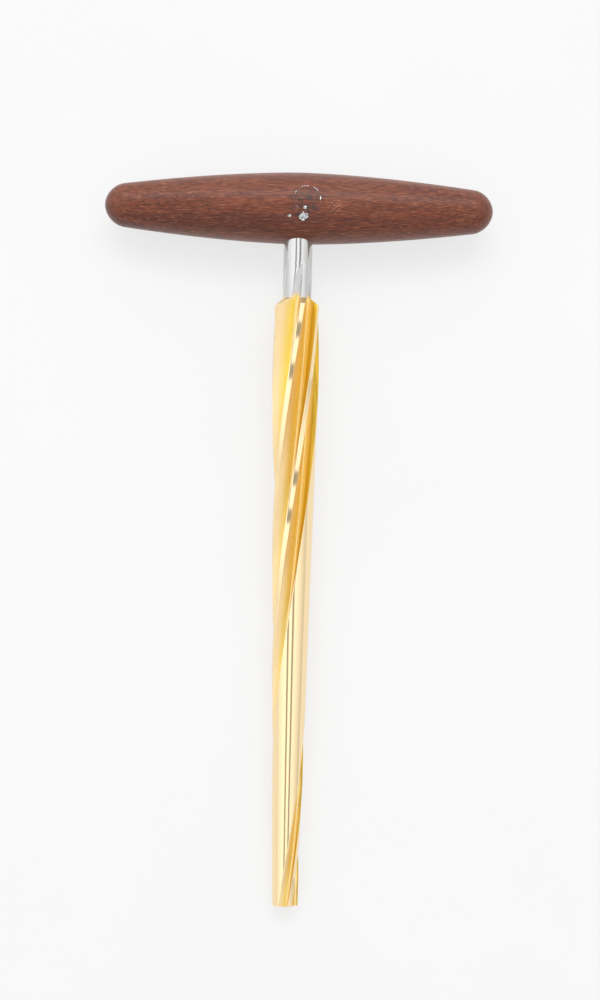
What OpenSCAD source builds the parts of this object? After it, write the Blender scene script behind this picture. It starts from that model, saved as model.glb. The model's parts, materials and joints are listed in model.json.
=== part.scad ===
// Tapered hand reamer with a wooden cross handle, lying on a bench as it is laid down after use.
// Four helical flutes share one side of the body; the other side is a wide smooth guide land.
// The handle lies along X, the tool points along -Y, and its front faces +Z.

/* [Handle] */
// Length of the cross handle, nose to nose
handle_len = 136; // [120:1:160]
// Diameter of the handle at its middle
handle_d = 24.6; // [22:0.2:30]
// Length of each rounded nose
nose_len = 6.7; // [5:0.1:12]
// How fast the handle slims away from its middle
crown_rate = 0.00515; // [0.004:0.00005:0.006]
// How that slimming grows with distance: 1 is a cone, 2 a plain arc
crown_power = 1.66; // [1.4:0.01:1.7]

/* [Shank] */
// Diameter of the plain shank
shank_d = 10.1; // [9.6:0.1:11.2]
// Distance from the handle's axis to the end of the tang, past that axis
tang_past = 7; // [3:0.5:8]
// Radial thickness of the cured adhesive round the tang
glue_gap = 0.1; // [0.05:0.05:0.3]

/* [Fluted body] */
// Diameter of the parallel part below the shoulder
body_d = 16.4; // [15:0.1:18]
// Diameter at the small end
tip_d = 9; // [8.8:0.1:10]
// Length along the axis for each millimetre of diameter
taper_ratio = 25; // [24:1:26]
// Distance from the handle's axis to the small end
reach = 245.4; // [240:0.1:265]
// Distance from the handle's axis to the top of the shoulder
shoulder_s = 31.6; // [30:0.1:36]
// Length of the shoulder's cone
shoulder_len = 2.4; // [1.5:0.1:4]

/* [Flutes] */
// Helix angle of the flutes
helix = 8.5; // [5:0.1:12]
// Core diameter at the shoulder
core_top_d = 8.1; // [7.6:0.1:9.4]
// Core diameter at the small end
core_tip_d = 6.6; // [6:0.1:8]
// Width of the narrow lands at the shoulder
land_top_w = 1.85; // [1.2:0.05:2.2]
// Width of the narrow lands at the small end
land_tip_w = 1.65; // [0.8:0.05:1.9]
// Width of the wide guide land round the body, in degrees
guide_deg = 138; // [130:1:155]
// How far the long wall is hollowed between its ends
wall_hollow = 0.22; // [0:0.02:0.5]
// Size of the fillet in the root of a flute
root_fillet = 0.8; // [0.3:0.1:1.2]
// Relief angle of the narrow lands, which are ground flat
relief = 4; // [0:0.5:5]
// Radius of the wheel that lets each flute run out into the shank
wheel_r = 100; // [60:5:140]

/* [Drive pin] */
// Diameter of the dowel that locks the tang in the handle
pin_d = 3; // [2:0.5:4]
// How far the dowel passes the tool's axis
pin_past = 8.5; // [7:0.5:9.5]

/* [Foil mark] */
// Number of flakes left of the worn foil mark
flake_count = 9; // [3:1:14]
// Half width of the oval that the flakes lie in
mark_w = 5.2; // [3:0.1:7]
// Half height of that oval
mark_h = 5.8; // [3:0.1:7]
// Thickness of the foil
foil_t = 0.06; // [0.04:0.01:0.2]

/* [Hidden] */

handle_r = handle_d / 2;
shank_r = shank_d / 2;
body_r = body_d / 2;
tip_r = tip_d / 2;
bore_r = shank_r + glue_gap;
bore_clearance = 0.4; // the bore runs this far past the tang
glue_sunk = 0.05; // the adhesive stops this far below the wood
bore_past = tang_past + bore_clearance;
body_s = shoulder_s + shoulder_len; // where the parallel part starts
taper_s = reach - (body_d - tip_d) * taper_ratio; // where the taper starts
tip_chamfer = 0.15;
centre_hole_r = 1.4; // 60 degree centre hole in the small end
centre_hole_depth = centre_hole_r / tan(30);

// Cutting edges round the body, in degrees from the front, at the top of the shoulder.
// The land behind the last edge is the wide guide land.
edges = [-61, 10, 65, 120];
root_lead = 1.2; // the root lies this far behind the edge, in degrees
root_share = 0.4; // most of the cutting face that the fillet in a root may take
least_groove = 0.12; // depth at which a flute's run-out is taken as ended
shank_step = 0.01; // the faceted run-out stays this far inside the round shank

// Steps of the outline and of the length
land_steps = 3;
guide_steps = 18;
wall_steps = 3;
root_steps = 4;
runout_levels = 9;
cone_levels = 4;
parallel_levels = 6;
taper_levels = 52;

// The tool lies on the handle's belly and on the small end.
lie_tilt = asin(handle_r / norm([reach, tip_r])) - atan(tip_r / reach);
back_y = handle_r;
front_y = -reach * cos(lie_tilt) - tip_r * sin(lie_tilt);
centre_y = (back_y + front_y) / 2;

// ---- Placing ----

// Turns a piece modelled along +Z (0 at the handle's axis, front towards +Y) to point along -Y.
module along_tool() rotate([90, 0, 0]) children();

// Lays the finished tool on the surface z = 0, centred on the origin.
module lay_down() translate([0, -centre_y, handle_r]) rotate([lie_tilt, 0, 0]) children();

// ---- Handle ----

// Radius of the handle's long curve at distance d from its middle
function crown(d) = handle_r - crown_rate * pow(abs(d), crown_power);

// Half profile of the handle as [radius, place], from its middle to one nose
nose_s = handle_len / 2 - nose_len;
crown_stations = [for (i = [0:12]) let (d = nose_s * i / 12) [crown(d), d]];
nose_stations = [for (i = [1:9]) let (t = i * 10, d = nose_s + nose_len * sin(t)) [crown(d) * cos(t), d]];
half_profile = concat(crown_stations, nose_stations);

module handle_body(grow = 0) {
    upper = [for (p = half_profile) p[1] >= handle_len / 2 - 0.001 ? [0, p[1] + grow] : [p[0] + grow, p[1]]];
    lower = [for (i = [len(upper) - 1:-1:1]) [upper[i][0], -upper[i][1]]];
    rotate([0, 90, 0]) rotate_extrude($fn = 96) polygon(concat(lower, upper));
}

module bore() along_tool()
    translate([0, 0, -bore_past]) cylinder(r = bore_r, h = bore_past + handle_d, $fn = 120);

module pin_hole() translate([0, 0, -handle_d]) cylinder(d = pin_d, h = handle_d + pin_past, $fn = 48);

module handle() {
    color([0.36, 0.17, 0.12]) lay_down() difference() {
        handle_body();
        bore();
        pin_hole();
    }
}

// ---- Reamer: outline at each distance s from the handle's axis ----

function outer_r(s) =
    s <= shoulder_s ? shank_r - shank_step
    : s < body_s ? shank_r + (body_r - shank_r) * (s - shoulder_s) / shoulder_len
    : s <= taper_s ? body_r
    : body_r - (s - taper_s) / (2 * taper_ratio);

function core_r(s) =
    let (share = (s - body_s) / (reach - body_s))
    (core_top_d + (core_tip_d - core_top_d) * max(0, share)) / 2
    + (s < body_s ? pow(body_s - s, 2) / (2 * wheel_r) : 0);

// The flutes turn at a constant helix angle, so they turn faster where the body is thinner.
function twist(s) = (180 / PI) * tan(helix) * (
    s <= taper_s ? (s - shoulder_s) / body_r
    : (taper_s - shoulder_s) / body_r + 2 * taper_ratio * ln(body_r / outer_r(s)));

// A point at radius r and at an angle from the front, turning towards +X
function polar(r, a) = [r * sin(a), r * cos(a)];

// Where a flute's long wall lies, as [angle of its normal behind the next edge, distance from the axis],
// from the flute's core and its width in degrees on the full body
function wall_line(r, core, width) =
    let (p = polar(core, -root_lead), q = polar(r, -width), d = (q - p) / norm(q - p), n = [d[1], -d[0]])
    [atan2(n[0], n[1]), n * p];

// A point at share t of a land that runs from angle a0 to a1: round, or flat and relieved where flat is 1
function land_point(r, a0, a1, t, flat) =
    let (low_end = polar(r * (1 - tan(relief) * (a1 - a0) * PI / 180), a1))
    polar(r, a0 + (a1 - a0) * t) * (1 - flat) + (polar(r, a0) * (1 - t) + low_end * t) * flat;

// One tooth: its land, the long wall of the flute behind it, and the root below the next edge
function tooth(a0, a1, r, core, full_r, full_core, width, flat, steps) =
    let (
        line = wall_line(full_r, full_core, width),
        away = line[1] * core / full_core,
        land_end = a1 + line[0] - acos(min(1, away / r)),
        land = [for (i = [0:steps - 1]) land_point(r, a0, land_end, i / steps, flat)],
        top = land_point(r, a0, land_end, 1, flat),
        corner = polar(core, a1 - root_lead),
        next_edge = polar(r, a1),
        size = min(root_fillet, root_share * norm(next_edge - corner)),
        along_wall = (top - corner) / norm(top - corner),
        up_face = (next_edge - corner) / norm(next_edge - corner),
        foot = corner + size * along_wall,
        inward = [along_wall[1], -along_wall[0]] * (along_wall[1] * corner[0] - along_wall[0] * corner[1] > 0 ? -1 : 1),
        hollow = wall_hollow * min(1, norm(top - foot) / body_r),
        wall = [for (i = [0:wall_steps - 1]) let (t = i / wall_steps)
            top + (foot - top) * t + inward * hollow * 4 * t * (1 - t)],
        root = [for (i = [0:root_steps]) let (t = i / root_steps)
            foot * pow(1 - t, 2) + corner * 2 * t * (1 - t) + (corner + size * up_face) * pow(t, 2)]
    )
    concat(land, wall, root);

// The whole outline at s, turned by the helix
function outline(s, r) =
    let (
        core = min(core_r(s), r - least_groove),
        full_s = max(s, body_s),
        flat = min(1, max(0, s - shoulder_s) / shoulder_len),
        full_r = outer_r(full_s),
        land_w = land_top_w + (land_tip_w - land_top_w) * (full_s - body_s) / (reach - body_s),
        last = len(edges) - 1,
        points = [for (k = [0:last])
            let (a0 = edges[k], a1 = k < last ? edges[k + 1] : edges[0] + 360)
            each tooth(
                a0, a1, r, core, full_r, core_r(full_s),
                a1 - a0 - (k < last ? land_w / full_r * 180 / PI : guide_deg),
                k < last ? flat : 0, k < last ? land_steps : guide_steps)],
        a = -twist(s)
    )
    [for (p = points) [p[0] * cos(a) + p[1] * sin(a), -p[0] * sin(a) + p[1] * cos(a), s]];

runout_s = body_s - sqrt(2 * wheel_r * (shank_r - shank_step - least_groove - core_top_d / 2));
levels = concat(
    [for (i = [0:runout_levels - 1]) runout_s + (shoulder_s - runout_s) * i / runout_levels],
    [for (i = [0:cone_levels - 1]) shoulder_s + shoulder_len * i / cone_levels],
    [for (i = [0:parallel_levels - 1]) body_s + (taper_s - body_s) * i / parallel_levels],
    // equal turns of the helix along the taper
    [for (i = [0:taper_levels - 1]) taper_s + 2 * taper_ratio * body_r * (1 - pow(tip_r / body_r, i / taper_levels))],
    [reach - tip_chamfer]
);
sections = concat(
    [for (s = levels) outline(s, outer_r(s))],
    [outline(reach, outer_r(reach) - tip_chamfer)]
);
ring_n = len(sections[0]);
centre_ring = [for (p = sections[len(sections) - 1]) let (d = norm([p[0], p[1]]))
    [p[0] * centre_hole_r / d, p[1] * centre_hole_r / d, reach]];

module fluted_body() {
    rings = concat(sections, [centre_ring]);
    points = concat([for (ring = rings) each ring], [[0, 0, reach - centre_hole_depth], [0, 0, runout_s]]);
    deepest = len(rings) * ring_n;
    sides = [for (j = [0:len(rings) - 2], i = [0:ring_n - 1])
        let (a = j * ring_n + i, b = j * ring_n + (i + 1) % ring_n)
        each [[a, b, a + ring_n], [b, b + ring_n, a + ring_n]]];
    hole = [for (i = [0:ring_n - 1]) [deepest - ring_n + i, deepest - ring_n + (i + 1) % ring_n, deepest]];
    top = [for (i = [0:ring_n - 1]) [(i + 1) % ring_n, i, deepest + 1]];
    polyhedron(points, concat(sides, hole, top), convexity = 8);
}

module shank() difference() {
    translate([0, 0, -tang_past]) cylinder(r = shank_r, h = tang_past + runout_s, $fn = 120);
    rotate([90, 0, 0]) cylinder(d = pin_d, h = handle_d, center = true, $fn = 48);
}

module reamer() {
    lay_down() along_tool() {
        color([0.93, 0.72, 0.30]) fluted_body();
        color([0.80, 0.80, 0.80]) shank();
    }
}

// ---- Drive pin, adhesive and foil mark ----

// The dowel's outer end is filed flush, so it takes the handle's own curve.
module drive_pin() {
    color([0.62, 0.62, 0.63]) lay_down() intersection() {
        pin_hole();
        handle_body();
    }
}

module tang_adhesive() {
    color([0.80, 0.70, 0.45]) lay_down() difference() {
        intersection() {
            handle_body(-glue_sunk);
            bore();
        }
        along_tool() translate([0, 0, -tang_past]) cylinder(r = shank_r, h = handle_d + tang_past, $fn = 120);
        pin_hole();
    }
}

// Outline of one flake: a round blot with an uneven edge
module flake(size, turn) polygon([for (i = [0:11]) let (a = i * 30)
    size * (1 + 0.28 * sin(3 * a + turn) + 0.16 * sin(5 * a - turn)) * [cos(a), sin(a)]]);

module foil_mark() {
    mark_x = 1.8;
    mark_y = -0.6;
    color([0.82, 0.84, 0.86]) lay_down() intersection() {
        difference() {
            handle_body(foil_t);
            handle_body();
        }
        for (i = [0:flake_count - 1]) {
            spread = sqrt(i / flake_count);
            turn = 137.5 * i + 20;
            size = i == 0 ? 1.55 : 0.42 + 0.34 * pow(sin(i * 77), 2);
            translate([mark_x + mark_w * spread * cos(turn), mark_y + mark_h * spread * sin(turn), 0])
                linear_extrude(handle_d) flake(size, turn);
        }
    }
}

handle();
reamer();
drive_pin();
tang_adhesive();
foil_mark();
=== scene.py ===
# %% [markdown]
# # A tapered hand reamer
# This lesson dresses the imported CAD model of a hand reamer: a tapered steel body with spiral flutes and a
# gold coloured coating, a bright shank, and a turned rosewood handle across its end. The CAD model is the
# frame. It says where everything is, and nothing here moves or resizes it. Each visible piece is modelled
# again with finer surfaces in the same place, and gets a material of its own.

# %% Load the frame
import json
import math

import bpy
from mathutils import Matrix, Vector, noise


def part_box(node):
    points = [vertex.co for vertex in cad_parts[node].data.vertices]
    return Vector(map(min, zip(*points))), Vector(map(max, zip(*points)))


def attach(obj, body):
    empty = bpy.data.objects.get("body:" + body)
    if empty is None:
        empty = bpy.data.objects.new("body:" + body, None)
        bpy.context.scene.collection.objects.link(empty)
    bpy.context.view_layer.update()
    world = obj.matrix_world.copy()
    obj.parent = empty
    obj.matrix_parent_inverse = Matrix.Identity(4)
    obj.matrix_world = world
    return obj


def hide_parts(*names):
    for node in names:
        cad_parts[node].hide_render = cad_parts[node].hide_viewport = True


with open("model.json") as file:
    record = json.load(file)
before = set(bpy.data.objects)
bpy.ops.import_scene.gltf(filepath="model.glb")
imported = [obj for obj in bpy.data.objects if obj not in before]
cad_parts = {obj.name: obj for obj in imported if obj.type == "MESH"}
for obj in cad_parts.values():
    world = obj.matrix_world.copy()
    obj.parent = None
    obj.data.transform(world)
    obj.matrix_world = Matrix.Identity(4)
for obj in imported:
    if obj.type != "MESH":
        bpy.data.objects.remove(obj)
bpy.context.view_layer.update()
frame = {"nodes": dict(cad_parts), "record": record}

print("CAD nodes:", sorted(frame["nodes"]))

# %% [markdown]
# ## The tool's own axes
# The tool lies tilted on its handle and its tip, so it is easiest to model it along its own axes and lay
# it down at the end. The record's mounts say where those axes are: the grip is at the handle's middle,
# the cutting taper points towards the tip, and the tip's face ends the tool.

# %% Read the axes from the record's mounts
MM = 0.001
mounts = {mount["name"]: mount for mount in frame["record"]["mounts"]}
handle_middle = Vector(mounts["grip"]["pos_m"])
along = Vector(mounts["cutting_taper"]["axis"]).normalized()
across = Vector((1, 0, 0))
front = along.cross(across)
reach = (Vector(mounts["tip_face"]["pos_m"]) - handle_middle).dot(along)

tool_axes = Matrix((across, front, along)).transposed().to_4x4()
tool_axes.translation = handle_middle
print(f"reach from handle to tip {reach / MM:.1f} mm")

# %% [markdown]
# ## Driving sizes
# These repeat the sizes that the CAD model was designed with. What the frame can tell is read from it.

# %% Name the driving sizes
handle_low, handle_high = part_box("handle")
HANDLE_LEN = handle_high.x - handle_low.x
HANDLE_R = (handle_high.z - handle_low.z) / 2
NOSE_LEN = 6.7 * MM
CROWN_RATE = 0.00515
CROWN_POWER = 1.66

SHANK_R = 5.05 * MM
BORE_R = 5.15 * MM
TANG_PAST = 7 * MM
BODY_R = 8.2 * MM
TIP_R = 4.5 * MM
TAPER_RATIO = 25
SHOULDER_S = 31.6 * MM
SHOULDER_LEN = 2.4 * MM
BODY_S = SHOULDER_S + SHOULDER_LEN
TAPER_S = reach - 2 * (BODY_R - TIP_R) * TAPER_RATIO
print(f"handle {HANDLE_LEN / MM:.1f} x {2 * HANDLE_R / MM:.1f} mm, taper starts at {TAPER_S / MM:.1f} mm")

# %% [markdown]
# ## Working habits
# Loading the frame leaves the CAD nodes selected, and most operators act on all that is selected. These
# small helpers start each piece from a clean selection, leave edit mode, and lay a finished piece down in
# the frame with its place in its mesh.

# %% Helpers for starting and finishing pieces
def deselect():
    if bpy.context.mode != "OBJECT":
        bpy.ops.object.mode_set(mode="OBJECT")
    bpy.ops.object.select_all(action="DESELECT")


def take(piece):
    deselect()
    piece.select_set(True)
    bpy.context.view_layer.objects.active = piece


def named(name):
    piece = bpy.context.object
    piece.name = name
    piece.data.name = name
    return piece


def lay_down(piece):
    take(piece)
    piece.matrix_world = tool_axes @ piece.matrix_world
    bpy.ops.object.transform_apply(location=True, rotation=True, scale=True)


def apply_all(piece):
    take(piece)
    for modifier in list(piece.modifiers):
        bpy.ops.object.modifier_apply(modifier=modifier.name)


def smooth(piece, degrees):
    take(piece)
    bpy.ops.object.shade_smooth_by_angle(angle=math.radians(degrees))


# %% [markdown]
# ## The handle
# The real handle is turned on a lathe from one piece of wood, so it is made the way a lathe makes it:
# half of its outline is drawn point by point, then spun about its length. The long curve is a gentle
# crown that straightens towards the ends, and each nose is a quarter of an ellipse laid on that curve.

# %% The handle's outline
CROWN_STATIONS = 72
NOSE_STATIONS = 14
TURN_STEPS = 160


def crown(x):
    """Radius of the handle's long curve at distance x from its middle."""
    return HANDLE_R - CROWN_RATE * MM * (abs(x) / MM) ** CROWN_POWER


def handle_radius(x):
    """Radius of the finished handle, noses included."""
    into_nose = max(0.0, abs(x) - (HANDLE_LEN / 2 - NOSE_LEN)) / NOSE_LEN
    return crown(x) * math.sqrt(max(0.0, 1 - into_nose ** 2))


def handle_stations():
    straight = HANDLE_LEN / 2 - NOSE_LEN
    on_crown = CROWN_STATIONS // 2
    half = [straight * (i + 0.5) / on_crown for i in range(on_crown - 1)] + [straight]
    nose_angles = [math.radians(90 * i / NOSE_STATIONS) for i in range(1, NOSE_STATIONS + 1)]
    half += [straight + NOSE_LEN * math.sin(angle) for angle in nose_angles]
    return [-x for x in reversed(half)] + half


print(f"handle radius at its middle {crown(0) / MM:.1f} mm, outline of {len(handle_stations())} points")

# %% Turn the handle
def turned(name, outline, axis, steps):
    """A solid turned from a line of points that starts and ends on the axis."""
    deselect()
    bpy.ops.mesh.primitive_plane_add(size=MM, location=(0, 0, 0))
    piece = named(name)
    bpy.ops.object.mode_set(mode="EDIT")
    bpy.ops.mesh.select_all(action="SELECT")
    bpy.ops.mesh.merge(type="CENTER")
    bpy.ops.transform.translate(value=outline[0])
    for here, there in zip(outline, outline[1:]):
        bpy.ops.mesh.extrude_vertices_move(TRANSFORM_OT_translate={"value": there - here})
    bpy.ops.mesh.select_all(action="SELECT")
    bpy.ops.mesh.spin(steps=steps, angle=2 * math.pi, center=(0, 0, 0), axis=axis)
    bpy.ops.mesh.select_all(action="SELECT")
    bpy.ops.mesh.remove_doubles(threshold=1e-6)
    bpy.ops.mesh.normals_make_consistent(inside=False)
    bpy.ops.object.mode_set(mode="OBJECT")
    return piece


half_outline = [Vector((x, handle_radius(x), 0)) for x in handle_stations()]
handle = turned("handle_wood", half_outline, (1, 0, 0), TURN_STEPS)
print("handle faces:", len(handle.data.polygons))

# %% [markdown]
# The tang sits in a blind hole from below, and a dowel crosses it from the back. Both holes are drilled
# here with a Boolean modifier each, as a drill would on the real piece.

# %% Drill the bore and the dowel's hole
PIN_R = 1.5 * MM
PIN_PAST = 8.5 * MM
PIN_BEVEL = 0.08 * MM
BORE_SPARE = 0.4 * MM


def drilled(piece, radius, low, high, turn=(0, 0, 0)):
    """Drills a round hole between two places on the tool's axis, or on that axis as turn leaves it."""
    deselect()
    bpy.ops.mesh.primitive_cylinder_add(vertices=96, radius=radius, depth=high - low)
    drill = named("drill")
    bpy.ops.object.mode_set(mode="EDIT")
    bpy.ops.mesh.select_all(action="SELECT")
    bpy.ops.transform.translate(value=(0, 0, (low + high) / 2))
    bpy.ops.object.mode_set(mode="OBJECT")
    drill.rotation_euler = turn
    hole = piece.modifiers.new("hole", "BOOLEAN")
    hole.operation = "DIFFERENCE"
    hole.solver = "EXACT"
    hole.object = drill
    apply_all(piece)
    bpy.data.objects.remove(drill)


FROM_THE_BACK = (math.radians(-90), 0, 0)
drilled(handle, BORE_R, -TANG_PAST - BORE_SPARE, 2 * HANDLE_R)
drilled(handle, PIN_R, -2 * HANDLE_R, PIN_PAST, FROM_THE_BACK)
smooth(handle, 35)
lay_down(handle)
print("handle with its holes:", len(handle.data.polygons), "faces")

# %% [markdown]
# ## The reamer
# The reamer is ground from one bar. Its cross section is the same idea all along: four cutting edges, a
# narrow land behind three of them, a wide guide land behind the fourth, and between them flutes whose
# long wall runs down to a small fillet at the foot of the next edge. The section shrinks with the taper
# and turns with the helix. No modifier does all of that at once, so a flat grid is added, and each of its
# rows is wrapped into one section by formula.

# %% The reamer's outline along its length
EDGE_ANGLES = [-61, 10, 65, 120]
GUIDE_DEG = 138
HELIX = math.radians(8.5)
CORE_TOP_R = 4.05 * MM
CORE_TIP_R = 3.3 * MM
LAND_TOP_W = 1.85 * MM
LAND_TIP_W = 1.65 * MM
ROOT_LEAD = 1.2
ROOT_FILLET = 0.8 * MM
WALL_HOLLOW = 0.22 * MM
RELIEF = math.radians(4)
WHEEL_R = 100 * MM
TIP_CHAMFER = 0.15 * MM
EDGE_ROUND = 0.035 * MM


def outer_radius(s):
    if s <= SHOULDER_S:
        return SHANK_R
    if s < BODY_S:
        return SHANK_R + (BODY_R - SHANK_R) * (s - SHOULDER_S) / SHOULDER_LEN
    return BODY_R - max(0.0, s - TAPER_S) / (2 * TAPER_RATIO)


def core_radius(s):
    share = max(0.0, s - BODY_S) / (reach - BODY_S)
    lift = max(0.0, BODY_S - s) ** 2 / (2 * WHEEL_R)
    return CORE_TOP_R + (CORE_TIP_R - CORE_TOP_R) * share + lift


def twist(s):
    """Turn of the section at s, in degrees, for a helix angle that stays the same as the body thins."""
    before_taper = (min(s, TAPER_S) - SHOULDER_S) / BODY_R
    on_taper = 2 * TAPER_RATIO * math.log(BODY_R / outer_radius(s)) if s > TAPER_S else 0.0
    return math.degrees(math.tan(HELIX) * (before_taper + on_taper))


print(f"the flutes turn by {twist(reach):.0f} degrees from shoulder to tip")

# %% One section of the reamer
LAND, WALL, ROOT, FACE = range(4)
LAND_POINTS = 4
GUIDE_POINTS = 48
WALL_POINTS = 10
ROOT_POINTS = 6


def polar(radius, degrees):
    angle = math.radians(degrees)
    return Vector((radius * math.sin(angle), radius * math.cos(angle)))


def wall_line(radius, core, width):
    """Angle of a flute wall's normal behind the next edge, and the wall's distance from the axis."""
    foot = polar(core, -ROOT_LEAD)
    top = polar(radius, -width)
    step = (top - foot).normalized()
    normal = Vector((step.y, -step.x))
    return math.degrees(math.atan2(normal.x, normal.y)), normal.dot(foot)


def tooth(k, radius, core, s):
    """Points of a land, the flute behind it and the next edge's foot, each with its kind of surface."""
    guide = k == len(EDGE_ANGLES) - 1
    flat = 0 if guide else min(1.0, max(0.0, s - SHOULDER_S) / SHOULDER_LEN)
    full_s = max(s, BODY_S)
    start = EDGE_ANGLES[k]
    end = EDGE_ANGLES[0] + 360 if guide else EDGE_ANGLES[k + 1]
    full_r, full_core = outer_radius(full_s), core_radius(full_s)
    share = (full_s - BODY_S) / (reach - BODY_S)
    land_w = LAND_TOP_W + (LAND_TIP_W - LAND_TOP_W) * share
    land_deg = GUIDE_DEG if guide else math.degrees(land_w / full_r)
    normal_deg, full_away = wall_line(full_r, full_core, end - start - land_deg)
    away = full_away * core / full_core
    land_end = end + normal_deg - math.degrees(math.acos(min(1.0, away / radius)))
    steps = GUIDE_POINTS if guide else LAND_POINTS
    low_end = polar(radius * (1 - math.tan(RELIEF) * math.radians(land_end - start)), land_end)

    def on_land(t):
        """A point of the land: round on the shank and the guide land, flat and relieved on the others."""
        straight = polar(radius, start).lerp(low_end, t)
        return polar(radius, start + (land_end - start) * t).lerp(straight, flat)

    top = on_land(1)
    soft = min(0.1, EDGE_ROUND / max((top - on_land(0)).length, EDGE_ROUND))
    points = [(on_land(soft * 0.3) * (1 - 0.3 * EDGE_ROUND / radius), LAND)]
    points += [(on_land(soft + (1 - 2 * soft) * i / steps), LAND) for i in range(steps + 1)]

    corner = polar(core, end - ROOT_LEAD)
    next_edge = polar(radius, end)
    down_wall = corner - top
    size = min(ROOT_FILLET, 0.4 * (next_edge - corner).length, 0.4 * down_wall.length)
    foot = corner - down_wall.normalized() * size
    rise = corner + (next_edge - corner).normalized() * size
    inward = -foot.normalized()
    hollow = WALL_HOLLOW * min(1.0, down_wall.length / BODY_R)
    first = EDGE_ROUND / max(down_wall.length, EDGE_ROUND)
    for i in range(WALL_POINTS):
        t = first + (1 - first) * i / WALL_POINTS
        points.append((top.lerp(foot, t) + inward * hollow * 4 * t * (1 - t), WALL))
    for i in range(ROOT_POINTS + 1):
        t = i / ROOT_POINTS
        points.append((foot * (1 - t) ** 2 + corner * 2 * t * (1 - t) + rise * t ** 2, ROOT))
    face = next_edge - rise
    shy_of_edge = 1 - min(0.5, EDGE_ROUND / max(face.length, 1e-9))
    points.append((rise + face * 0.5, FACE))
    points.append((rise + face * shy_of_edge, FACE))
    return points


def section(s, chamfer=0.0):
    radius = outer_radius(s) - chamfer
    core = min(core_radius(s), radius - 1e-7)
    points = [point for k in range(len(EDGE_ANGLES)) for point in tooth(k, radius, core, s)]
    turn = Matrix.Rotation(math.radians(twist(s)), 2)
    return [(turn @ flat, kind) for flat, kind in points]


around = len(section(BODY_S))
print("points round a section:", around)

# %% [markdown]
# The levels lie closer together where the flutes run out into the shank and on the shoulder, and the tang
# and the round part of the shank need only a few. The tip is chamfered and ends in a 60 degree centre
# hole.

# %% Wrap a grid into the reamer
RUNOUT_STEP = 0.3 * MM
BODY_STEP = 0.75 * MM
CENTRE_HOLE_R = 1.4 * MM
CENTRE_HOLE_DEPTH = CENTRE_HOLE_R / math.tan(math.radians(30))
TANG_CHAMFER = 0.4 * MM


def spaced(low, high, step):
    count = max(1, round((high - low) / step))
    return [low + (high - low) * i / count for i in range(count)]


runout_s = BODY_S - math.sqrt(2 * WHEEL_R * (SHANK_R - CORE_TOP_R))


def reamer_rings():
    """Every ring as (place along the axis, flat points with their kind of surface)."""
    tang = [-TANG_PAST, -TANG_PAST, -TANG_PAST + TANG_CHAMFER, 12 * MM]
    tang_radii = [0, SHANK_R - TANG_CHAMFER, SHANK_R, SHANK_R]
    start = section(runout_s)
    rings = []
    for s, radius in zip(tang, tang_radii):
        rings.append((s, [(flat.normalized() * radius, LAND) for flat, kind in start]))
    for s in spaced(12.5 * MM, runout_s, 1 * MM):
        rings.append((s, [(flat.normalized() * SHANK_R, LAND) for flat, kind in start]))
    levels = spaced(runout_s, SHOULDER_S, RUNOUT_STEP)
    levels += spaced(SHOULDER_S, BODY_S, RUNOUT_STEP) + spaced(BODY_S, reach - TIP_CHAMFER, BODY_STEP)
    rings += [(s, section(s)) for s in levels]
    rings.append((reach - TIP_CHAMFER, section(reach - TIP_CHAMFER)))
    tip = section(reach, TIP_CHAMFER)
    rings.append((reach, tip))
    rings.append((reach, [(flat.normalized() * CENTRE_HOLE_R, LAND) for flat, kind in tip]))
    rings.append((reach - CENTRE_HOLE_DEPTH, [(flat * 0, LAND) for flat, kind in tip]))
    return rings


rings = reamer_rings()
deselect()
bpy.ops.mesh.primitive_grid_add(x_subdivisions=around, y_subdivisions=len(rings) - 1, size=1)
reamer = named("reamer_body")
columns = around + 1
print("grid:", columns, "by", len(rings), "=", len(reamer.data.vertices), "points")

# %% [markdown]
# Four attributes go with the points: which are land, how much coating they have, how deep in a flute they
# lie, and which are on a cutting face. The coated steel reads them, and paints shade from the last two.

# %% Move the grid's points into place
DEPTH_MARGIN = 0.2 * MM


def coated_share(s, flat):
    """Share of coating: none on the round shank, all from the shoulder on, a little way up the flutes."""
    in_groove = min(1.0, max(0.0, (SHANK_R - flat.length) / (0.5 * MM)))
    edge = SHOULDER_S - 0.1 * MM - 1.1 * MM * in_groove
    return min(1.0, max(0.0, 0.5 + (s - edge) / ((0.3 + 1.8 * in_groove) * MM)))


def depth_share(s, flat, kind):
    """How deep in a flute a point lies, 0 on the lands and 1 at the core; it sets the painted shade. The
    roots get half.
    """
    if kind == ROOT:
        return 0.5
    flute_depth = outer_radius(s) - core_radius(s) + DEPTH_MARGIN
    return min(1.0, max(0.0, (outer_radius(s) - flat.length) / flute_depth))


places = []
land_share = []
coating_share = []
depths = []
face_share = []
for s, ring in rings:
    on_shoulder = SHOULDER_S <= s < BODY_S - 0.01 * MM
    for flat, kind in ring + ring[:1]:
        places += [flat.x, flat.y, s]
        land_share.append(1.0 if kind == LAND and not on_shoulder else 0.0)
        coating_share.append(coated_share(s, flat))
        depths.append(depth_share(s, flat, kind))
        face_share.append({ROOT: 0.5, FACE: 1.0}.get(kind, 0.0))
reamer.data.vertices.foreach_set("co", places)

shares = {"land": land_share, "coating": coating_share, "depth": depths, "face": face_share}
for name, values in shares.items():
    attribute = reamer.data.attributes.new(name, "FLOAT", "POINT")
    attribute.data.foreach_set("value", values)

# The grid's own UV map is kept: U runs round the section and V along the tool.
take(reamer)
bpy.ops.object.mode_set(mode="EDIT")
bpy.ops.mesh.select_all(action="SELECT")
bpy.ops.mesh.remove_doubles(threshold=2e-7)
bpy.ops.mesh.dissolve_degenerate(threshold=2e-7)
bpy.ops.mesh.normals_make_consistent(inside=False)
bpy.ops.object.mode_set(mode="OBJECT")
smooth(reamer, 32)
lay_down(reamer)
print("reamer faces:", len(reamer.data.polygons))

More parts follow.
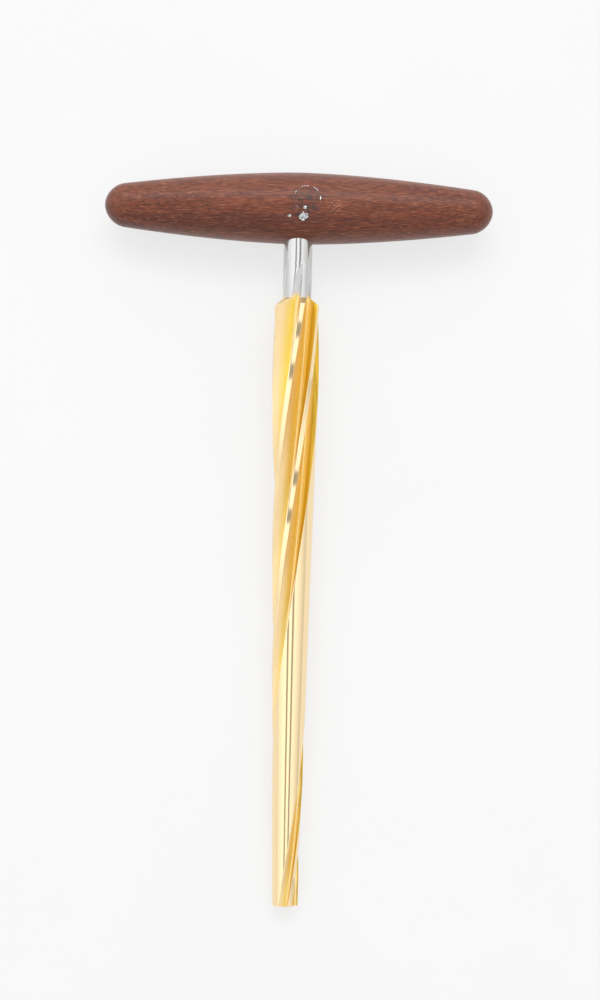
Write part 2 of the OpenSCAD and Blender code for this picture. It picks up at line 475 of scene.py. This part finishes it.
# %% [markdown]
# ## The dowel
# Its outer end is the only part that shows, from behind. It is a short rod, and its outer end is filed
# flush, so the points of that end are set back onto the handle's own curve.

# %% Model the dowel
deselect()
pin_len = HANDLE_R + PIN_PAST
bpy.ops.mesh.primitive_cylinder_add(vertices=48, radius=PIN_R, depth=pin_len, end_fill_type="TRIFAN")
pin = named("drive_pin_rod")
bpy.ops.object.mode_set(mode="EDIT")
bpy.ops.mesh.select_all(action="SELECT")
bpy.ops.transform.translate(value=(0, 0, PIN_PAST - pin_len / 2))
bpy.ops.object.mode_set(mode="OBJECT")
for vertex in pin.data.vertices:
    if vertex.co.z < -HANDLE_R / 2:
        vertex.co.z = -math.sqrt(handle_radius(vertex.co.x) ** 2 - vertex.co.y ** 2)
pin.rotation_euler = FROM_THE_BACK
bevel = pin.modifiers.new("broken edges", "BEVEL")
bevel.width = PIN_BEVEL
bevel.segments = 3
bevel.limit_method = "ANGLE"
bevel.angle_limit = math.radians(60)
apply_all(pin)
smooth(pin, 35)
lay_down(pin)
print("dowel:", len(pin.data.polygons), "faces")

# %% [markdown]
# ## The worn foil mark
# The round foil mark on the handle's front is worn nearly all away. What is left is a few crumbs of foil
# and a few slivers of its rim. A fine grid is laid on the handle, and only the cells that a noise pattern
# keeps are left, so each flake gets a torn outline of its own.

# %% Lay a grid on the handle's front
FOIL_T = 0.05 * MM
MARK_MIDDLE = Vector((2.9 * MM, -1.3 * MM))
MARK_R = 4.6 * MM
RIM_HALF_W = 0.20 * MM
CELL = 0.09 * MM
PATCH = 3.6 * MARK_R
FOIL_LIFT = 0.012 * MM
RIM_ARCS = [(-12, 26), (42, 24), (92, 26), (-62, 8), (-130, 14)]
crumbs = [(Vector((1.7 * MM, 5.1 * MM)), 1.5 * MM), (Vector((2.2 * MM, 2.2 * MM)), 0.7 * MM),
          (Vector((-3.2 * MM, 4.9 * MM)), 0.6 * MM)]

deselect()
cells = round(PATCH / CELL)
bpy.ops.mesh.primitive_grid_add(x_subdivisions=cells, y_subdivisions=cells, size=PATCH)
foil = named("foil_flakes")


def foil_left(spot):
    """More than zero where foil is left, at a spot given as (across, along) from the handle's middle."""
    grain = noise.fractal(Vector((spot.x, spot.y, 0)) / MM * 1.1 + Vector((3.1, 7.7, 0)), 0.8, 2.2, 4)
    tear = noise.noise(Vector((spot.x, spot.y, 0)) / MM * 0.55 + Vector((11.3, 2.4, 0)))
    crumb = max((size - (spot - middle).length) / size for middle, size in crumbs)
    from_middle = spot - MARK_MIDDLE
    rim = 1 - abs(from_middle.length - MARK_R) / RIM_HALF_W
    clock = math.degrees(math.atan2(from_middle.x, -from_middle.y))
    in_arc = max(1 - abs(clock - middle) / half for middle, half in RIM_ARCS)
    return max(crumb * 1.2 + grain * 0.75 - 0.1, min(rim, in_arc * 1.5) + tear * 1.2 + grain * 0.6 - 0.3)


mesh = foil.data
kept = []
for vertex in mesh.vertices:
    spot = Vector((vertex.co.x, vertex.co.y)) + MARK_MIDDLE
    kept.append(foil_left(spot) > 0)
    radius = handle_radius(spot.x) + FOIL_LIFT
    angle = spot.y / radius
    vertex.co = (spot.x, radius * math.cos(angle), radius * math.sin(angle))

take(foil)
bpy.ops.object.mode_set(mode="EDIT")
bpy.ops.mesh.select_mode(type="VERT")
bpy.ops.mesh.select_all(action="DESELECT")
bpy.ops.object.mode_set(mode="OBJECT")
for vertex, keep in zip(mesh.vertices, kept):
    vertex.select = not keep
bpy.ops.object.mode_set(mode="EDIT")
bpy.ops.mesh.delete(type="VERT")
bpy.ops.mesh.select_all(action="SELECT")
bpy.ops.mesh.delete_loose(use_verts=True, use_edges=True, use_faces=False)
bpy.ops.object.mode_set(mode="OBJECT")
thickness = foil.modifiers.new("foil thickness", "SOLIDIFY")
thickness.thickness = FOIL_T
thickness.offset = 0
apply_all(foil)
smooth(foil, 60)
lay_down(foil)
print("foil flakes:", len(foil.data.polygons), "faces")

# %% [markdown]
# ## Materials
# Every material is made of procedural nodes. This helper makes a material with its Principled shader, and
# hands back a small builder that adds nodes and links them in one line each.

# %% A helper for building node materials
class Nodes:
    """Adds nodes to one tree and links them."""

    def __init__(self, tree):
        self.tree = tree

    def add(self, kind, inputs=None, **settings):
        node = self.tree.nodes.new(kind)
        for name, value in settings.items():
            setattr(node, name, value)
        for name, value in (inputs or {}).items():
            self.feed(node.inputs[name], value)
        return node

    def feed(self, socket, value):
        if isinstance(value, bpy.types.NodeSocket):
            self.tree.links.new(value, socket)
        else:
            socket.default_value = value

    def math(self, operation, a, b=0.0):
        return self.add("ShaderNodeMath", {0: a, 1: b}, operation=operation).outputs[0]

    def length(self, vector):
        return self.add("ShaderNodeVectorMath", {0: vector}, operation="LENGTH").outputs["Value"]

    def ramp(self, value, stops):
        node = self.add("ShaderNodeValToRGB", {"Fac": value})
        elements = node.color_ramp.elements
        while len(elements) < len(stops):
            elements.new(0.5)
        for element, (place, colour) in zip(elements, stops):
            element.position = place
            element.color = (*colour, 1) if len(colour) == 3 else colour
        return node.outputs["Color"]

    def grey(self, value, stops):
        return self.ramp(value, [(place, (level, level, level)) for place, level in stops])

    def mix(self, share, a, b):
        node = self.add("ShaderNodeMix", data_type="RGBA")
        self.feed(node.inputs[0], share)
        self.feed(node.inputs[6], a if isinstance(a, bpy.types.NodeSocket) else (*a, 1))
        self.feed(node.inputs[7], b if isinstance(b, bpy.types.NodeSocket) else (*b, 1))
        return node.outputs[2]

    def noise(self, vector, scale, detail=4.0, roughness=0.55, distortion=0.0):
        node = self.add("ShaderNodeTexNoise", {"Vector": vector, "Scale": scale, "Detail": detail,
                                               "Roughness": roughness, "Distortion": distortion})
        return node.outputs["Fac"]

    def stretched(self, vector, scale, place=(0, 0, 0), turn=(0, 0, 0)):
        node = self.add("ShaderNodeMapping", {"Vector": vector, "Scale": scale, "Location": place,
                                              "Rotation": turn})
        return node.outputs["Vector"]

    def bump(self, height, strength, distance):
        node = self.add("ShaderNodeBump", {"Height": height, "Strength": strength, "Distance": distance})
        return node.outputs["Normal"]


def new_material(name, **fixed):
    """A material, its node builder and its Principled shader, with the constant values set on the shader."""
    material = bpy.data.materials.new(name)
    material.use_nodes = True
    nodes = Nodes(material.node_tree)
    shader = material.node_tree.nodes["Principled BSDF"]
    for socket, value in fixed.items():
        shader.inputs[socket.replace("_", " ")].default_value = value
    return material, nodes, shader


def object_place(nodes):
    return nodes.add("ShaderNodeTexCoord").outputs["Object"]


def dress(piece, material):
    piece.data.materials.clear()
    piece.data.materials.append(material)


# %% [markdown]
# ### Rosewood
# The wood is reddish brown with the grain along the handle. Three things make it: broad growth bands that
# wander slowly, short fine fibres that are a little lighter or darker, and open pores that read as thin
# dark dashes. A rough coat gives the surface a broad soft sheen. The mark's residue and the scratches are
# on the front only.

# %% Make the rosewood
UNIT_DISC = 10 * MM
RESIDUE_MIDDLE = Vector((2.4 * MM, -0.5 * MM, 0))
CRUMB_MIDDLE = Vector((1.6 * MM, -4.6 * MM, 0))
SCRATCH_MIDDLE = Vector((12.6 * MM, -2.0 * MM, 0))
SCRATCH_TURN = math.radians(-42)


def make_rosewood():
    material, nodes, shader = new_material("rosewood", Specular_IOR_Level=0.05, Coat_Weight=0.85,
                                           Coat_Roughness=0.38)
    place = object_place(nodes)
    centred = nodes.stretched(place, (1, 1, 1), place=-handle_middle)
    wander = nodes.noise(nodes.stretched(centred, (14, 60, 60)), 1.0, 2.0)
    bands = nodes.noise(nodes.stretched(centred, (9, 300, 300)), 1.0, 4.0, 0.6, 0.7)
    fibres = nodes.noise(nodes.stretched(centred, (70, 2600, 2600)), 1.0, 2.0, 0.6, 0.3)
    fine = nodes.noise(nodes.stretched(centred, (240, 3400, 3400)), 1.0, 1.0, 0.5)
    pores = nodes.noise(nodes.stretched(centred, (280, 3600, 3600), place=(0.3, 0.7, 0.2)), 1.0, 1.0, 0.5)
    pore_mask = nodes.grey(pores, [(0.57, 0.0), (0.66, 1.0)])
    light_dash = nodes.grey(fine, [(0.55, 0.0), (0.68, 1.0)])

    ground = nodes.ramp(bands, [(0.30, (0.072, 0.012, 0.005)), (0.45, (0.128, 0.024, 0.008)),
                                (0.60, (0.180, 0.041, 0.014)), (0.75, (0.106, 0.019, 0.006))])
    drifted = nodes.mix(nodes.grey(wander, [(0.35, 0.0), (0.65, 0.5)]), ground, (0.152, 0.033, 0.012))
    fibred = nodes.mix(nodes.grey(fibres, [(0.38, 0.60), (0.54, 0.0)]), drifted, (0.036, 0.008, 0.004))
    dashed = nodes.mix(nodes.math("MULTIPLY", light_dash, 0.42), fibred, (0.36, 0.135, 0.065))
    grained = nodes.mix(nodes.math("MULTIPLY", pore_mask, 0.55), dashed, (0.018, 0.005, 0.004))

    # dark residue round the worn mark
    def disc_round(middle, stops):
        away = nodes.length(nodes.stretched(centred, (1, 1, 0), place=-middle))
        return nodes.grey(nodes.math("DIVIDE", away, UNIT_DISC), stops)

    mark_disc = disc_round(RESIDUE_MIDDLE, [(0.44, 1.0), (0.62, 0.0)])
    crumb_disc = disc_round(CRUMB_MIDDLE, [(0.20, 1.0), (0.36, 0.0)])
    disc = nodes.math("MAXIMUM", nodes.math("MULTIPLY", mark_disc, 0.8), crumb_disc)
    smudge = nodes.grey(nodes.noise(centred, 700.0, 4.0, 0.65, 0.8), [(0.44, 0.0), (0.58, 1.0)])
    rise = nodes.add("ShaderNodeSeparateXYZ", {0: centred}).outputs["Z"]
    in_front = nodes.grey(rise, [(0.0, 0.0), (0.004, 1.0)])
    residue = nodes.math("MULTIPLY", nodes.math("MULTIPLY", disc, smudge), in_front)
    colour = nodes.mix(nodes.math("MULTIPLY", residue, 0.95), grained, (0.020, 0.018, 0.020))

    # a patch of short slanting scratches beside it, lighter than the wood
    scratch_place = nodes.stretched(centred, (1, 1, 0), place=-SCRATCH_MIDDLE)
    far = nodes.length(nodes.stretched(scratch_place, (1, 1.4, 1)))
    patch = nodes.grey(nodes.math("DIVIDE", far, UNIT_DISC), [(0.22, 1.0), (0.36, 0.0)])
    slanted = nodes.stretched(scratch_place, (1, 1, 1), turn=(0, 0, SCRATCH_TURN))
    turned_place = nodes.stretched(slanted, (90, 2400, 1))
    lines = nodes.grey(nodes.noise(turned_place, 1.0, 1.0, 0.4), [(0.54, 0.0), (0.60, 1.0)])
    scratches = nodes.math("MULTIPLY", nodes.math("MULTIPLY", patch, lines), in_front)
    nodes.feed(shader.inputs["Base Color"], nodes.mix(nodes.math("MULTIPLY", scratches, 0.45), colour,
                                                      (0.46, 0.24, 0.15)))

    rough = nodes.grey(fibres, [(0.3, 0.52), (0.7, 0.38)])
    nodes.feed(shader.inputs["Roughness"], nodes.math("ADD", rough, nodes.math("MULTIPLY", pore_mask, 0.2)))
    fibre_height = nodes.math("MULTIPLY", fibres, 0.6)
    height = nodes.math("SUBTRACT", fibre_height, nodes.math("MULTIPLY", pore_mask, 0.7))
    nodes.feed(shader.inputs["Normal"], nodes.bump(height, 0.4, 0.00006))
    return material


dress(handle, make_rosewood())
print("rosewood nodes:", len(handle.active_material.node_tree.nodes))

# %% [markdown]
# ### Coated and bright steel
# One bar, two finishes. The fluted body has a gold coloured coating, and the shank is bare steel. The
# lands are close to mirrors, with fine lines across the tool. The flutes are satin, with lines along
# them. Their gold is painted deeper and darker towards the core and darkest on the cutting faces: this
# is painted shade, in place of the shade and gold-on-gold reflections in the flutes and the darker light
# that the cutting faces mirror.

# %% Make the coated steel
def make_coated_steel():
    material, nodes, shader = new_material("coated_steel", Metallic=1.0)
    coating = nodes.add("ShaderNodeAttribute", attribute_name="coating").outputs["Fac"]
    land = nodes.add("ShaderNodeAttribute", attribute_name="land").outputs["Fac"]
    place = object_place(nodes)
    uv = nodes.add("ShaderNodeTexCoord").outputs["UV"]
    lengthwise = nodes.noise(nodes.stretched(uv, (900, 60, 1)), 1.0, 3.0)
    crosswise = nodes.noise(nodes.stretched(uv, (14, 2600, 1)), 1.0, 2.0)
    cloudy = nodes.noise(place, 160.0, 3.0)
    depth = nodes.add("ShaderNodeAttribute", attribute_name="depth").outputs["Fac"]
    streaks = nodes.noise(nodes.stretched(uv, (700, 9, 1)), 1.0, 3.0, 0.6)

    pale_share = nodes.grey(cloudy, [(0.35, 0.0), (0.7, 0.35)])
    pale_gold = nodes.mix(pale_share, (0.965, 0.752, 0.430), (0.955, 0.715, 0.375))
    # painted shade: a deeper, darker gold for the shade and gold-on-gold reflections inside the flutes
    shade_gold_streaks = nodes.grey(streaks, [(0.35, 0.0), (0.65, 1.0)])
    painted_shade_gold = nodes.mix(shade_gold_streaks, (0.84, 0.575, 0.078), (0.96, 0.700, 0.150))
    # share of painted shade: none near the lands, full near the core, part on the roots
    deep = nodes.grey(depth, [(0.32, 0.0), (0.85, 1.0)])
    face = nodes.add("ShaderNodeAttribute", attribute_name="face").outputs["Fac"]
    flute_gold = nodes.mix(deep, pale_gold, painted_shade_gold)
    # painted shade: the cutting faces are painted darkest amber, in place of the darker light that they
    # mirror
    gold_with_face_shade = nodes.mix(nodes.grey(face, [(0.6, 0.0), (0.95, 1.0)]), flute_gold, (0.62, 0.385, 0.045))
    gold = nodes.mix(land, gold_with_face_shade, (0.965, 0.760, 0.455))
    steel = nodes.mix(nodes.grey(cloudy, [(0.3, 0.0), (0.7, 1.0)]), (0.66, 0.655, 0.65), (0.61, 0.61, 0.61))
    nodes.feed(shader.inputs["Base Color"], nodes.mix(coating, steel, gold))

    wall_rough = nodes.grey(streaks, [(0.35, 0.42), (0.65, 0.54)])
    face_rough = nodes.grey(streaks, [(0.35, 0.24), (0.65, 0.38)])
    flute_rough = nodes.mix(nodes.grey(face, [(0.1, 0.0), (0.4, 1.0)]), wall_rough, face_rough)
    land_rough = nodes.grey(crosswise, [(0.3, 0.09), (0.7, 0.15)])
    nodes.feed(shader.inputs["Roughness"], nodes.mix(land, flute_rough, land_rough))
    height = nodes.mix(land, lengthwise, crosswise)
    nodes.feed(shader.inputs["Normal"], nodes.bump(height, 0.10, 0.00001))
    return material


dress(reamer, make_coated_steel())
print("coated steel nodes:", len(reamer.active_material.node_tree.nodes))

# %% [markdown]
# ### Foil, dowel steel and adhesive
# Small finishes: rubbed silvery foil, plain steel wire, and cured epoxy, which hardly shows.

# %% Make the small finishes
def make_worn_foil():
    material, nodes, shader = new_material("worn_foil", Metallic=0.55)
    place = object_place(nodes)
    rub = nodes.noise(place, 2600.0, 4.0, 0.65)
    colour = nodes.ramp(rub, [(0.36, (0.07, 0.07, 0.08)), (0.47, (0.38, 0.39, 0.41)),
                              (0.60, (0.88, 0.90, 0.92))])
    nodes.feed(shader.inputs["Base Color"], colour)
    nodes.feed(shader.inputs["Roughness"], nodes.grey(rub, [(0.35, 0.6), (0.65, 0.35)]))
    nodes.feed(shader.inputs["Normal"], nodes.bump(rub, 0.5, 0.00004))
    return material


def make_pin_steel():
    material, nodes, shader = new_material("pin_steel", Metallic=1.0)
    lines = nodes.noise(nodes.stretched(object_place(nodes), (3000, 3000, 300)), 1.0, 3.0)
    colour = nodes.ramp(lines, [(0.3, (0.40, 0.40, 0.41)), (0.7, (0.60, 0.60, 0.61))])
    nodes.feed(shader.inputs["Base Color"], colour)
    nodes.feed(shader.inputs["Roughness"], nodes.grey(lines, [(0.3, 0.28), (0.7, 0.42)]))
    nodes.feed(shader.inputs["Normal"], nodes.bump(lines, 0.2, 0.00002))
    return material


def make_epoxy():
    material, nodes, shader = new_material("epoxy", Specular_IOR_Level=0.5)
    cloud = nodes.noise(object_place(nodes), 900.0, 3.0)
    colour = nodes.ramp(cloud, [(0.3, (0.40, 0.30, 0.15)), (0.7, (0.62, 0.50, 0.28))])
    nodes.feed(shader.inputs["Base Color"], colour)
    nodes.feed(shader.inputs["Roughness"], nodes.grey(cloud, [(0.3, 0.35), (0.7, 0.55)]))
    nodes.feed(shader.inputs["Normal"], nodes.bump(cloud, 0.2, 0.00003))
    return material


dress(foil, make_worn_foil())
dress(pin, make_pin_steel())
dress(frame["nodes"]["tang_adhesive"], make_epoxy())
print("small finishes:", foil.active_material.name, pin.active_material.name, "epoxy")

# %% [markdown]
# ## Joining the frame
# The tool has one body, so every piece rides on root, and the CAD node that each piece stands for is
# hidden.

# %% Tie the pieces to the frame
for piece, node, finish in ((handle, "handle", "turned_wood"), (reamer, "reamer", "coated_steel"),
                            (pin, "drive_pin", "pin_steel"), (foil, "foil_mark", "worn_foil")):
    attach(piece, "root")
    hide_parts(node)

# %% [markdown]
# ## The set
# The tool lies on a plain pale bench inside a soft white tent. The bench is a wide flat sheet just below
# the tool. It gives off most of its own light, so it stays an even white and shadows on it stay faint.

# %% Lay the bench
BENCH_SIZE = 6
BENCH_DROP = 0.2 * MM
deselect()
bpy.ops.mesh.primitive_plane_add(size=BENCH_SIZE, location=(0, 0, -BENCH_DROP))
bench = named("bench")
bench_material, nodes, shader = new_material("pale_bench", Roughness=0.7, Specular_IOR_Level=0.1,
                                             Emission_Strength=0.715)
patches = nodes.noise(object_place(nodes), 9.0, 3.0)
nodes.feed(shader.inputs["Base Color"], nodes.grey(patches, [(0.3, 0.155), (0.7, 0.165)]))
shader.inputs["Emission Color"].default_value = (1, 1, 1, 1)
dress(bench, bench_material)
print("bench:", BENCH_SIZE, "m wide")

# %% [markdown]
# The tent is the world itself, brighter overhead than at the sides. Two narrow dark gaps run along the
# tool on either side of the camera. Polished round metal shows them as a dark, a bright and a dark line.
# Beyond the handle a dark strip keeps the cutting faces from flaring, and a brighter panel behind it
# gives the handle its soft band of light. All of it is a set made for this view.

# %% Hang the tent
GAP_AT = math.radians(15)
GAP_REACH = math.radians(10)
TENT_LEAN = math.radians(-1.0)
PANEL_LIGHT = 2.8
world = bpy.data.worlds.new("tent")
bpy.context.scene.world = world
world.use_nodes = True
tent = Nodes(world.node_tree)
sky = world.node_tree.nodes["Background"]
direction = tent.add("ShaderNodeTexCoord").outputs["Generated"]
split = tent.add("ShaderNodeSeparateXYZ", {"Vector": direction})
side, ahead, up = split.outputs
lean = tent.math("ADD", tent.math("ARCTAN2", side, up), TENT_LEAN)
height = tent.math("ADD", tent.math("MULTIPLY", up, 0.64), 0.77)
height = tent.math("SUBTRACT", height, tent.math("MULTIPLY", side, 0.10))
height = tent.math("ADD", height, tent.math("MULTIPLY", ahead, 0.33))
from_gap = tent.math("ABSOLUTE", tent.math("SUBTRACT", tent.math("ABSOLUTE", lean), GAP_AT))
gap = tent.grey(tent.math("DIVIDE", from_gap, GAP_REACH), [(0.46, 0.28), (0.70, 1.0)])
past_ends = tent.grey(tent.math("ABSOLUTE", ahead), [(0.55, 0.0), (0.7, 1.0)])
gap_here = tent.math("MAXIMUM", gap, past_ends)
climb = tent.math("DIVIDE", tent.math("ARCTAN2", ahead, up), math.radians(90))
middle_part = tent.grey(tent.math("ABSOLUTE", side), [(0.35, 1.0), (0.55, 0.0)])
strip = tent.grey(climb, [(0.13, 0.0), (0.18, 0.65), (0.27, 0.65), (0.31, 0.0)])
panel = tent.grey(climb, [(0.28, 0.0), (0.31, 1.0), (0.42, 1.0), (0.50, 0.0)])
strip_left = tent.math("SUBTRACT", 1.0, tent.math("MULTIPLY", strip, middle_part))
tent_light = tent.math("MULTIPLY", tent.math("MULTIPLY", height, gap_here), strip_left)
panel_light = tent.math("MULTIPLY", tent.math("MULTIPLY", panel, middle_part), PANEL_LIGHT)
tent_light = tent.math("ADD", tent_light, panel_light)
tent.feed(sky.inputs["Color"], tent_light)
sky.inputs["Strength"].default_value = 1.0
print("tent nodes:", len(world.node_tree.nodes))

# %% [markdown]
# A large soft key light stands beyond the handle, so shadows fall towards the tip. It is hidden from
# reflections, because the cutting faces would mirror it as a white streak.

# %% Stand the key light
KEY_PLACE = Vector((0.05, 0.75, 1.15))
KEY_AIM = Vector((0, 0.116, 0))
KEY_WATTS = 7
deselect()
bpy.ops.object.light_add(type="AREA", location=KEY_PLACE)
key = named("key")
key.rotation_euler = (KEY_AIM - KEY_PLACE).to_track_quat("-Z", "Y").to_euler()
key.data.shape = "RECTANGLE"
key.data.size = 1.1
key.data.size_y = 0.7
key.data.energy = KEY_WATTS
key.visible_glossy = False
print("key light:", KEY_WATTS, "W")

# %% [markdown]
# ## The camera
# It hangs straight above the tool, turned by about one degree, with a long lens.

# %% Hang the camera
CAMERA_HEIGHT = 0.69
CAMERA_ALONG = 163.95
CAMERA_ACROSS = 3.74
CAMERA_LENS = 69.55
CAMERA_SHIFT = 0.176
CAMERA_TURN = math.radians(1.175)
deselect()
middle = handle_middle + along * CAMERA_ALONG * MM + across * CAMERA_ACROSS * MM
bpy.ops.object.camera_add(location=(middle.x, middle.y, CAMERA_HEIGHT), rotation=(0, 0, CAMERA_TURN))
camera = named("camera")
camera.data.lens = CAMERA_LENS
camera.data.shift_y = CAMERA_SHIFT
camera.data.sensor_width = 36
camera.data.clip_end = 20
bpy.context.scene.camera = camera
bpy.context.scene.view_settings.view_transform = "Standard"
print("camera over", tuple(round(value / MM, 1) for value in middle), "mm")
